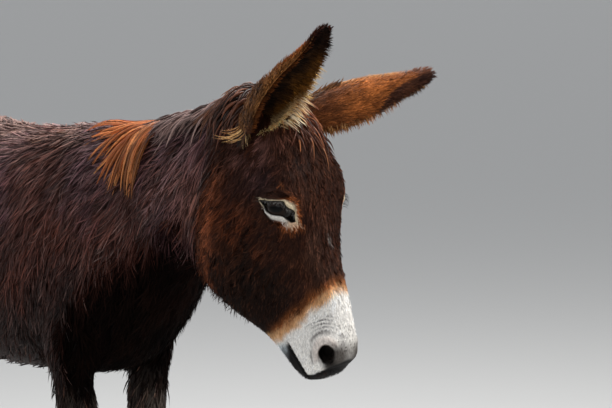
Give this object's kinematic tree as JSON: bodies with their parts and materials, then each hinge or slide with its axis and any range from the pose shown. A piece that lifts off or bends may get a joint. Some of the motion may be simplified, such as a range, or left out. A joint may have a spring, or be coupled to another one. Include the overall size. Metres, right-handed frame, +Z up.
{
  "type": "donkey",
  "caption": "Life-size standing donkey, a still museum model in a dark brown coat with a pale muzzle, its head lowered and turned to its left and its long ears spread.",
  "frame": {"origin": "on the floor, under the middle of the bounding box", "axes": "+X the way the body faces, +Y to the animal's left, +Z up"},
  "size_m": [1.869, 0.5148, 1.3487],
  "materials": {
    "coat": "dark chocolate brown fur",
    "legs": "short blackish brown fur",
    "muzzle": "short off-white fur",
    "lip": "bare dark grey skin",
    "ear": "brown fur with a pale fringe",
    "eye": "wet and glossy, nearly black",
    "hoof": "dark grey horn",
    "mane": "long dark hair",
    "ginger": "long ginger hair"
  },
  "bodies": {
    "root": {"head": "coat", "muzzle": "muzzle", "lower_lip": "lip", "ear_left": "ear", "eye_left": "eye", "ear_right": "ear", "eye_right": "eye", "mane": "mane", "neck": "coat", "tail_switch": "mane", "tail_dock": "coat", "foreleg_left_lower": "legs", "foreleg_left_upper": "coat", "foreleg_left_hoof": "hoof", "foreleg_right_lower": "legs", "foreleg_right_upper": "coat", "foreleg_right_hoof": "hoof", "hindleg_left_lower": "legs", "hindleg_left_upper": "coat", "hindleg_left_hoof": "hoof", "hindleg_right_lower": "legs", "hindleg_right_upper": "coat", "hindleg_right_hoof": "hoof", "chest": "coat", "barrel": "coat", "hindquarters": "coat", "shoulder_lock": "ginger"}
  },
  "joints": []
}
